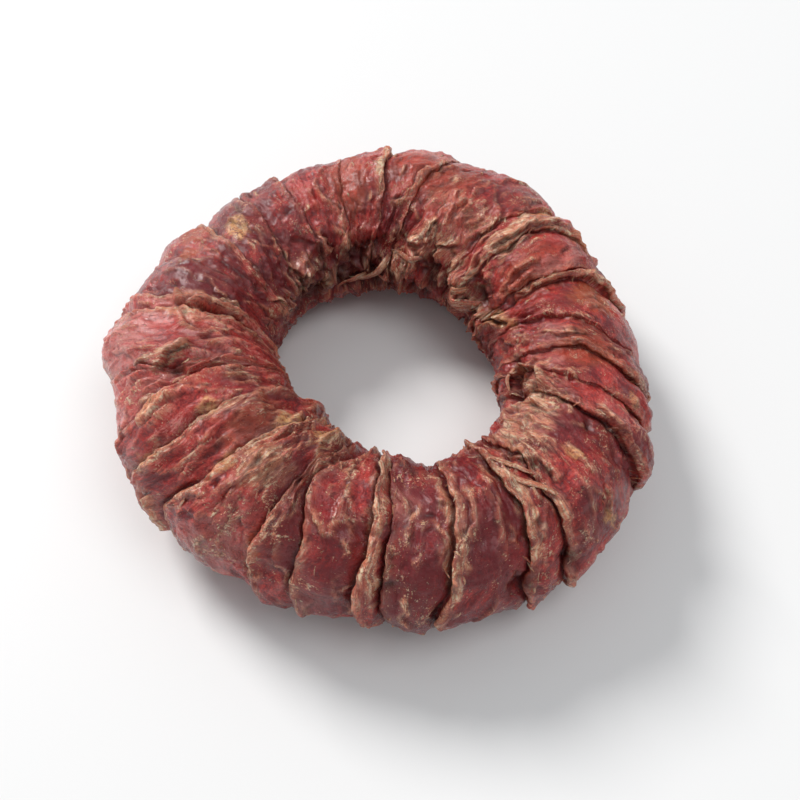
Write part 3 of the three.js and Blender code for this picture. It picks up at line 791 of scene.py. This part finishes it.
def ring_grids(lips):
    rises = lip_rises(lips)
    folds = FOLDS + scattered(SCATTERED, *FOLD_DRAW)
    flakes = scattered(LOOSE_EDGES, *FLAKE_DRAW)
    grids = []
    for k in range(len(STRIPS)):
        g = strip_grid(k, lips, rises)
        add_relief(g, k)
        for add, places in ((add_edge, EDGES), (add_fold, folds), (add_flake, flakes)):
            for place in places:
                add(g, *place)
        add_colours(g, k)
        grids.append(g)
    return grids


# Masks taken to the material. The shade mask is painted shade; the pale, plum and glow masks are partly
# painted sheen, shade and glow.
COLOUR_NAMES = ["tone", "mottle", "rim", "dry", "fat", "glow", "red", "pale", "plum", "shade"]


def add_piece(name, points, quads, ends, values, fibre, uv, material):
    """One mesh of quads and end faces. uv has a row for every corner, quads first."""
    mesh = bpy.data.meshes.new(name)
    corners = np.concatenate([quads.ravel(), ends.ravel()])
    sizes = np.concatenate([np.full(len(quads), 4), np.full(len(ends), ends.shape[1])])
    starts = np.cumsum(sizes) - sizes
    mesh.vertices.add(len(points))
    mesh.vertices.foreach_set("co", (points * MM).astype(np.float32).ravel())
    mesh.loops.add(len(corners))
    mesh.loops.foreach_set("vertex_index", corners.astype(np.int32))
    mesh.polygons.add(len(starts))
    mesh.polygons.foreach_set("loop_start", starts.astype(np.int32))
    mesh.polygons.foreach_set("loop_total", sizes.astype(np.int32))
    mesh.update(calc_edges=True)
    mesh.validate()
    mesh.polygons.foreach_set("use_smooth", np.ones(len(mesh.polygons), bool))
    for key in COLOUR_NAMES:
        layer = mesh.attributes.new(key, "FLOAT", "POINT")
        layer.data.foreach_set("value", values[key].astype(np.float32).ravel())
    layer = mesh.attributes.new("fibre", "FLOAT_VECTOR", "POINT")
    layer.data.foreach_set("vector", fibre.astype(np.float32).ravel())
    layer = mesh.uv_layers.new(name="OFBake")
    layer.data.foreach_set("uv", uv.astype(np.float32).ravel())
    mesh.materials.append(material)
    piece = bpy.data.objects.new(name, mesh)
    bpy.context.scene.collection.objects.link(piece)
    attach(piece, "root")
    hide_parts(NODE)


def add_skin(name, grids, start, end, material):
    """The strips from one lip to another as one mesh, closed at both ends inside the meat."""
    chosen = [grids[k] for k in range(start, end)]
    chosen.append({key: value[:, :1] for key, value in grids[end % len(grids)].items()})
    joined = {key: np.hstack([g[key] for g in chosen]) for key in grids[0]}
    points = np.concatenate([to_points(g) for g in chosen], axis=1)
    points[..., :2] -= AXIS
    rows, columns = points.shape[:2]
    index = np.arange(rows * columns).reshape(rows, columns)
    above = np.roll(index, -1, axis=0)
    quads = np.stack([index[:, :-1], index[:, 1:], above[:, 1:], above[:, :-1]], -1)
    ends = np.stack([index[:, 0], index[::-1, -1]])
    fibre = np.stack([joined["fibre_q"], *tube_place(joined["section"])], -1)
    u = np.arange(columns) / (columns - 1)
    v = np.arange(rows + 1) / rows
    corner_u = np.stack([u[:-1], u[1:], u[1:], u[:-1]], -1)[None].repeat(rows, 0)
    corner_v = np.stack([v[:-1], v[:-1], v[1:], v[1:]], -1)[:, None].repeat(columns - 1, 1)
    quad_uv = np.stack([corner_u, corner_v], -1).reshape(-1, 2)
    end_uv = np.stack([np.repeat([0.0, 1.0], rows), np.concatenate([v[:-1], v[-2::-1]])], -1)
    uv = np.concatenate([quad_uv, end_uv])
    add_piece(name, points.reshape(-1, 3), quads.reshape(-1, 4), ends, joined, fibre, uv, material)


MAP_COLUMNS = 900
EMPTY = -9.0  # height of a place that no point of the skin falls on, deeper than any pit


def map_row(section):
    return np.round(section / 360 * SECTIONS).astype(int) % SECTIONS


def map_column(azimuth):
    return np.round(azimuth / 360 * MAP_COLUMNS).astype(int) % MAP_COLUMNS


def surface_map(grids):
    """Height of the skin, by section and azimuth."""
    heights = np.full((SECTIONS, MAP_COLUMNS), EMPTY)
    for g in grids:
        np.maximum.at(heights, (map_row(g["section"]), map_column(g["azimuth"])), g["height"])
    beside = np.maximum(np.roll(heights, 1, axis=1), np.roll(heights, -1, axis=1))
    return np.where(heights == EMPTY, beside, heights)


# Frayed threads and slivers: ranges for even draws, middle and spread for the others
SHREDS = 400
SHREDS_SEED = 53
SHREDS_APART = 0.3  # share that lies away from the lips
SHRED = {
    "section": (-60, 215), "past the lip": (0.7, 0.9), "length": (1.2, 4.5), "turn": (90, 20),
    "width": (0.3, 0.8), "bend": (0, 0.08), "thickness": (0.3, 0.5), "lift": (-0.25, 0), "tan": (0.3, 1),
    "fat": (0, 0.5),
}


def loose_shreds(lips):
    """Short frayed threads and slivers, laid out by a seeded draw. Most lie along the lips."""
    draw = np.random.default_rng(SHREDS_SEED)

    def even(what):
        return draw.uniform(*SHRED[what])

    def about(what):
        return draw.normal(*SHRED[what])

    shreds = []
    for _ in range(SHREDS):
        section = even("section")
        if draw.random() < SHREDS_APART:
            azimuth = draw.uniform(0, 360)
        else:
            lip = lips[draw.integers(len(STRIPS))]
            azimuth = lip[map_row(section)] + about("past the lip")
        length = even("length")
        turn = math.radians(about("turn"))
        far = length * math.cos(turn) / math.radians(1) / reach(azimuth, section)
        round_by = length * math.sin(turn) / math.radians(1) / TUBE_RADIUS
        width = even("width")
        shreds.append((azimuth, section, azimuth + far, section + round_by, about("bend") * length, width,
                       width * even("thickness"), even("lift"), even("tan"), even("fat")**2))
    return shreds


STRAP_STEPS = 14
STRAP_SIDES = 8
STRAPS_SEED = 67
STRAP_PLACES = 99  # how far apart in the patterns straps may lie
STRAP_WAVES = {  # waves along a strap, layer, seed
    "bend": (3, 0.5, 5), "height": (2.5, 9.5, 6), "twist": (1.7, 3.5, 7), "width": (4, 7.5, 8)}
STRAP_BEND, STRAP_HEIGHT, STRAP_TWIST, STRAP_CHANGE = 0.25, 0.3, 0.7, 0.35  # how uneven in each
STRAP_EASINGS = 3  # times that the skin below it is evened out
SINK_SHARE, SINK_CURVE, SINK_LEVEL = 1.4, 0.4, 0.75  # how the ends sink in, for the thickness
TAPER_LEAST, TAPER_CURVE = 0.12, 0.6
TILE_EDGE = 0.05


def unit(vectors):
    """The same directions at a length of 1."""
    return vectors / np.linalg.norm(vectors, axis=-1, keepdims=True)


def add_straps(name, table, skin, material):
    """Flat bands over the skin, with both ends sunk in it, as one mesh."""
    draw = np.random.default_rng(STRAPS_SEED)
    rows = np.array(table)[:, :, None]
    azimuth_a, section_a, azimuth_b, section_b, bend, width, thick, lift, tan, fat = rows.transpose(1, 0, 2)
    count = len(table)
    t = np.linspace(0, 1, STRAP_STEPS)[None]
    arch = np.sin(np.pi * t)
    own = draw.uniform(0, STRAP_PLACES, (count, 1))

    def uneven(what):
        along, layer, seed = STRAP_WAVES[what]
        return noise(along * t, own, layer, seed)

    weave = bend * arch + STRAP_BEND * width * uneven("bend")
    azimuth = azimuth_a + (azimuth_b - azimuth_a) * t
    section = section_a + (section_b - section_a) * t
    along = np.radians(azimuth_b - azimuth_a) * reach(azimuth, section)
    across = np.radians(section_b - section_a) * TUBE_RADIUS
    length = np.hypot(along, across)
    azimuth = azimuth - np.degrees(weave * across / length / reach(azimuth, section))
    section = section + np.degrees(weave * along / length / TUBE_RADIUS)
    height = skin[map_row(section), map_column(azimuth)]
    for _ in range(STRAP_EASINGS):
        padded = np.pad(height, ((0, 0), (1, 1)), mode="edge")
        height = (padded[:, :-2] + 2 * height + padded[:, 2:]) / 4
    height = height + lift * arch + STRAP_HEIGHT * width * uneven("height")
    height = height + SINK_SHARE * thick * (arch**SINK_CURVE - SINK_LEVEL)
    centre = to_points({"azimuth": azimuth, "section": section, "height": height})
    inner = to_points({"azimuth": azimuth, "section": section, "height": height - 1})
    out = unit(centre - inner)[:, :, None]
    side_way = unit(np.cross(np.gradient(centre, axis=1), out[:, :, 0]))[:, :, None]
    twist = STRAP_TWIST * uneven("twist")[..., None, None]
    angle = np.radians(np.arange(STRAP_SIDES) * 360 / STRAP_SIDES)[None, None, :, None]
    taper = (TAPER_LEAST + (1 - TAPER_LEAST) * arch**TAPER_CURVE)[..., None, None]
    wide = width[:, :, None, None] / 2 * taper * (1 + STRAP_CHANGE * uneven("width")[..., None, None])
    deep = thick[:, :, None, None] / 2 * taper
    x = wide * np.cos(angle)
    y = deep * np.sin(angle)
    points = (centre[:, :, None] + side_way * (x * np.cos(twist) - y * np.sin(twist))
              + out * (x * np.sin(twist) + y * np.cos(twist)))
    points[..., :2] -= AXIS
    shape = points.shape[:3]
    index = np.arange(np.prod(shape)).reshape(shape)
    turned = np.roll(index, -1, axis=2)
    quads = np.stack([index[:, :-1], turned[:, :-1], turned[:, 1:], index[:, 1:]], -1).reshape(-1, 4)
    ends = np.concatenate([index[:, 0, ::-1], index[:, -1]])
    blank = np.zeros(shape)
    pick = draw.uniform(0, 1, (count, 1, 1)) + blank
    values = {key: blank for key in COLOUR_NAMES}
    values["tone"] = 1.4 * pick - 0.4
    values["rim"] = tan[:, :, None] + blank
    values["fat"] = fat[:, :, None] + blank
    values["dry"] = 0.5 * pick
    values["mottle"] = 0.3 * pick
    # painted shade where the ends sink into the skin
    values["shade"] = 0.7 * (1 - arch[..., None]**0.3) + blank
    run = (t * length)[..., None] + blank
    fibre = np.stack([x[..., 0] + 40 * pick + blank, run, 90 * pick], -1)
    tiles = math.ceil(math.sqrt(count))
    tile = np.arange(count)[:, None, None]
    inside = 1 - 2 * TILE_EDGE
    u = (tile % tiles + TILE_EDGE + inside * np.arange(STRAP_SIDES + 1) / STRAP_SIDES) / tiles
    v = (tile // tiles + TILE_EDGE + inside * t[..., None]) / tiles
    flat = np.stack(np.broadcast_arrays(u, v), -1)
    quad_uv = np.stack([flat[:, :-1, :-1], flat[:, :-1, 1:], flat[:, 1:, 1:], flat[:, 1:, :-1]], -2)
    end_uv = np.concatenate([flat[:, 0, -2::-1].reshape(-1, 2), flat[:, -1, :-1].reshape(-1, 2)])
    uv = np.concatenate([quad_uv.reshape(-1, 2), end_uv])
    add_piece(name, points.reshape(-1, 3), quads, ends, values, fibre, uv, material)


class Graph:
    """Short names for making a material's nodes."""

    def __init__(self, name):
        self.material = bpy.data.materials.new(name)
        self.material.use_nodes = True
        self.tree = self.material.node_tree
        self.shader = self.tree.nodes["Principled BSDF"]

    def node(self, kind, **settings):
        node = self.tree.nodes.new(kind)
        for key, value in settings.items():
            setattr(node, key, value)
        return node

    def plug(self, socket, value):
        if isinstance(value, bpy.types.NodeSocket):
            self.tree.links.new(value, socket)
        else:
            socket.default_value = value

    def fill(self, node, values):
        for socket, value in values.items():
            self.plug(node.inputs[socket], value)

    def attribute(self, name, output="Fac"):
        return self.node("ShaderNodeAttribute", attribute_name=name).outputs[output]

    def math(self, operation, a, b):
        node = self.node("ShaderNodeMath", operation=operation)
        self.fill(node, {0: a, 1: b})
        return node.outputs[0]

    def plus(self, a, b):
        return self.math("ADD", a, b)

    def times(self, a, b):
        return self.math("MULTIPLY", a, b)

    def band(self, value, low, high, to_low=0.0, to_high=1.0):
        node = self.node("ShaderNodeMapRange", interpolation_type="SMOOTHSTEP")
        self.fill(node, {0: value, 1: low, 2: high, 3: to_low, 4: to_high})
        return node.outputs["Result"]

    def mix(self, factor, a, b):
        node = self.node("ShaderNodeMix", data_type="RGBA")
        self.fill(node, {0: factor, 6: a, 7: b})
        return node.outputs[2]

    def noise(self, vector, scale, detail, roughness):
        node = self.node("ShaderNodeTexNoise")
        self.fill(node, {"Vector": vector, "Scale": scale, "Detail": detail, "Roughness": roughness})
        return node.outputs["Fac"]

    def stretched(self, vector, across, along, detail, roughness):
        """Noise with its own scale across the fibres and along them."""
        node = self.node("ShaderNodeVectorMath", operation="MULTIPLY")
        self.fill(node, {0: vector, 1: (across, along, along)})
        return self.noise(node.outputs[0], 1.0, detail, roughness)

    def bump(self, height, distance):
        node = self.node("ShaderNodeBump")
        self.fill(node, {"Strength": 1.0, "Distance": distance, "Height": height})
        return node.outputs["Normal"]


# Colours of the meat, as linear red, green and blue
PLUM = (0.190, 0.013, 0.017, 1)
CRIMSON = (0.540, 0.046, 0.036, 1)
PALE_PINK = (0.720, 0.240, 0.210, 1)
TAN = (0.860, 0.350, 0.205, 1)
BROWN = (0.290, 0.053, 0.040, 1)
ORANGE = (0.640, 0.155, 0.078, 1)
CREAM = (0.990, 0.740, 0.500, 1)
FAT = (0.820, 0.450, 0.190, 1)
AMBER = (0.480, 0.100, 0.030, 1)
BLOOD = (0.440, 0.024, 0.022, 1)
# The next colour is painted shade, laid in creases, pits, under lips and at the straps' ends
PAINTED_CREASE_SHADE = (0.070, 0.007, 0.007, 1)

# Patch colours: plum is partly painted shade, red is the meat's own, glow is partly a painted glow through
# thin edges
TINTS_AND_PAINTED_LIGHT = [("plum", 0.75, PLUM), ("red", 0.75, BLOOD), ("glow", 0.8, AMBER)]  # where, how strong, colour
MEAT_BUMP = 1.0 * MM
FILM_BUMP = 0.17 * MM  # of the moist film over the meat
MEAT_SURFACE = {
    "Specular IOR Level": 0.15,
    "Coat Weight": 0.6,
    "Coat Roughness": 0.17,
    "Subsurface Weight": 0.25,
    "Subsurface Radius": (1.0, 0.22, 0.12),
    "Subsurface Scale": 2.0 * MM,
}


def dried_meat():
    """Red meat in streaks and blotches, with dry tan rims, cream crumbs and painted shadow in pits and
    creases.
    """
    g = Graph("dried_meat")
    fibre = g.attribute("fibre", "Vector")
    streaks = g.stretched(fibre, 1.0, 0.14, 5.0, 0.65)
    threads = g.stretched(fibre, 2.6, 0.3, 4.0, 0.6)
    specks = g.stretched(fibre, 1.6, 1.2, 4.0, 0.75)
    grit = g.stretched(fibre, 2.4, 2.0, 3.0, 0.8)
    blotches = g.noise(fibre, 0.16, 2.0, 0.5)
    broad = g.noise(fibre, 0.07, 2.0, 0.5)
    flecks = g.stretched(fibre, 1.15, 0.8, 6.0, 0.72)
    pits = g.stretched(fibre, 1.5, 0.9, 5.0, 0.7)
    grains = g.stretched(fibre, 2.3, 2.0, 1.5, 0.5)

    tone = g.attribute("tone")
    for texture, *change in ((streaks, 0.3, 0.7, -0.6, 0.5), (blotches, 0.3, 0.7, -0.6, 0.6),
                             (broad, 0.35, 0.65, -0.5, 0.35), (specks, 0.3, 0.7, -0.6, 0.55),
                             (grit, 0.3, 0.7, -0.35, 0.35)):
        tone = g.plus(tone, g.band(texture, *change))
    # plum to crimson to light pink by tone; the tones from the strips' table are partly painted light
    colour = g.mix(g.band(tone, -1.0, 0.6), PLUM, CRIMSON)
    colour = g.mix(g.band(tone, 0.4, 1.7), colour, PALE_PINK)
    colour = g.mix(g.times(g.attribute("mottle"), g.band(grit, 0.3, 0.6, 0.3, 0.8)), colour, BROWN)
    # plum patches partly painted shade, glow patches partly a painted glow of light through thin edges
    for where, strength, tint in TINTS_AND_PAINTED_LIGHT:
        colour = g.mix(g.times(g.attribute(where), strength), colour, tint)
    # light pink in the pale patches, partly a painted sheen
    pale = g.times(g.attribute("pale"), g.band(streaks, 0.3, 0.6, 0.2, 0.7))
    colour = g.mix(pale, colour, PALE_PINK)

    dry = g.times(g.attribute("dry"), g.band(specks, 0.42, 0.60))
    rim = g.times(g.attribute("rim"), g.band(streaks, 0.32, 0.54, 0.35, 1.0))
    rim = g.times(rim, g.band(specks, 0.34, 0.52, 0.55, 1.0))
    edge = g.mix(g.band(grit, 0.34, 0.50), ORANGE, TAN)
    edge = g.mix(g.band(threads, 0.48, 0.66), edge, CREAM)
    colour = g.mix(g.times(dry, 0.55), colour, edge)
    colour = g.mix(g.times(rim, 0.9), colour, edge)
    colour = g.mix(g.times(g.attribute("fat"), g.band(specks, 0.36, 0.58, 0.1, 0.9)), colour, FAT)
    dark = g.times(g.band(pits, 0.44, 0.34), g.band(rim, 0.2, 0.8, 0.6, 0.2))
    colour = g.mix(dark, colour, PLUM)

    more = g.plus(g.times(g.plus(rim, dry), 0.16), g.band(blotches, 0.4, 0.7, -0.09, 0.03))
    more = g.plus(more, g.times(g.attribute("mottle"), 0.055))
    crumbs = g.band(g.plus(flecks, more), 0.585, 0.665)
    grains = g.band(g.plus(grains, more), 0.635, 0.705)
    crumbs = g.math("MAXIMUM", crumbs, grains)
    colour = g.mix(g.times(crumbs, 0.82), colour, g.mix(g.band(threads, 0.4, 0.6), TAN, CREAM))
    # painted shade: creases, pits, the meat under lips and the straps' ends darkened to near-black crimson
    colour = g.mix(g.times(g.attribute("shade"), 0.85), colour, PAINTED_CREASE_SHADE)
    rough = g.band(g.plus(rim, dry), 0.0, 1.0, 0.28, 0.52)
    rough = g.plus(rough, g.band(blotches, 0.3, 0.7, -0.08, 0.12))

    height = g.plus(g.times(threads, 0.6), g.times(specks, g.band(blotches, 0.35, 0.65, 0.2, 0.7)))
    height = g.plus(height, g.times(grit, 0.55))
    height = g.plus(height, g.times(crumbs, 0.45))
    height = g.math("SUBTRACT", height, g.times(dark, 0.4))
    g.fill(g.shader, MEAT_SURFACE)
    g.fill(g.shader, {"Base Color": colour, "Roughness": rough, "Normal": g.bump(height, MEAT_BUMP),
                      "Coat Normal": g.bump(height, FILM_BUMP)})
    return g.material


# The studio: sizes and places in metres, powers in watts
FLOOR_COLOUR = (0.79, 0.787, 0.782, 1)
FLOOR_ROUGHNESS = 0.55
FLOOR_SIZE = 6
FLOOR_DROP = 0.0002
SKY_COLOUR = (0.94, 0.97, 1.0, 1)
SKY_STRENGTH = 0.47
LAMPS = [  # name, place, size, power, colour
    ("window", (-1.92, 2.03, 2.32), 1.3, 124.0, (1.0, 0.99, 0.98)),
    ("room", (0.6, -0.2, 1.5), 1.0, 6.0, (0.98, 0.99, 1.0)),
]


def floor():
    g = Graph("studio_floor")
    g.fill(g.shader, {"Base Color": FLOOR_COLOUR, "Roughness": FLOOR_ROUGHNESS})
    bpy.ops.mesh.primitive_plane_add(size=FLOOR_SIZE, location=(0, 0, -FLOOR_DROP))
    plane = bpy.context.object
    plane.name = "studio_floor"
    plane.data.materials.append(g.material)


def area_light(name, place, size, power, colour, aim):
    light = bpy.data.lights.new(name, "AREA")
    light.shape = "DISK"
    light.size = size
    light.energy = power
    light.color = colour
    lamp = bpy.data.objects.new(name, light)
    lamp.location = place
    lamp.rotation_euler = (aim - Vector(place)).to_track_quat("-Z", "Y").to_euler()
    bpy.context.scene.collection.objects.link(lamp)


def studio(middle):
    world = bpy.data.worlds.new("studio")
    world.use_nodes = True
    world.node_tree.nodes["Background"].inputs["Color"].default_value = SKY_COLOUR
    world.node_tree.nodes["Background"].inputs["Strength"].default_value = SKY_STRENGTH
    bpy.context.scene.world = world
    bpy.context.scene.view_settings.view_transform = "Standard"
    for lamp in LAMPS:
        area_light(*lamp, middle)


# The camera
VIEW_ELEVATION = 56.3  # above the plane of the ring
VIEW_DISTANCE = 315.6
VIEW_AIM = (2.6, -5.5, 22.0)  # point that the camera faces
LENS = 47.25
SENSOR = 36
SHIFT = (0.0197, -0.0343)
NEAREST = 0.01  # in metres


def camera():
    data = bpy.data.cameras.new("camera")
    data.lens = LENS
    data.sensor_width = SENSOR
    data.sensor_fit = "HORIZONTAL"
    data.shift_x, data.shift_y = SHIFT
    data.clip_start = NEAREST
    eye = bpy.data.objects.new("camera", data)
    aim = Vector(VIEW_AIM) * MM
    angle = math.radians(VIEW_ELEVATION)
    back = Vector((0, -math.cos(angle), math.sin(angle)))
    eye.location = aim + back * VIEW_DISTANCE * MM
    eye.rotation_euler = (-back).to_track_quat("-Z", "Y").to_euler()
    bpy.context.scene.collection.objects.link(eye)
    bpy.context.scene.camera = eye


ARCS = 6  # of the skin

camera()
floor()
low, high = CAD_BOX
studio((low + high) / 2)
lips = lips_around()
grids = ring_grids(lips)
meat = dried_meat()
bounds = [round(len(STRIPS) * n / ARCS) for n in range(ARCS + 1)]
for n in range(ARCS):
    add_skin(f"duck_skin_{n + 1}", grids, bounds[n], bounds[n + 1], meat)
add_straps("duck_straps", STRAPS + loose_shreds(lips), surface_map(grids), meat)
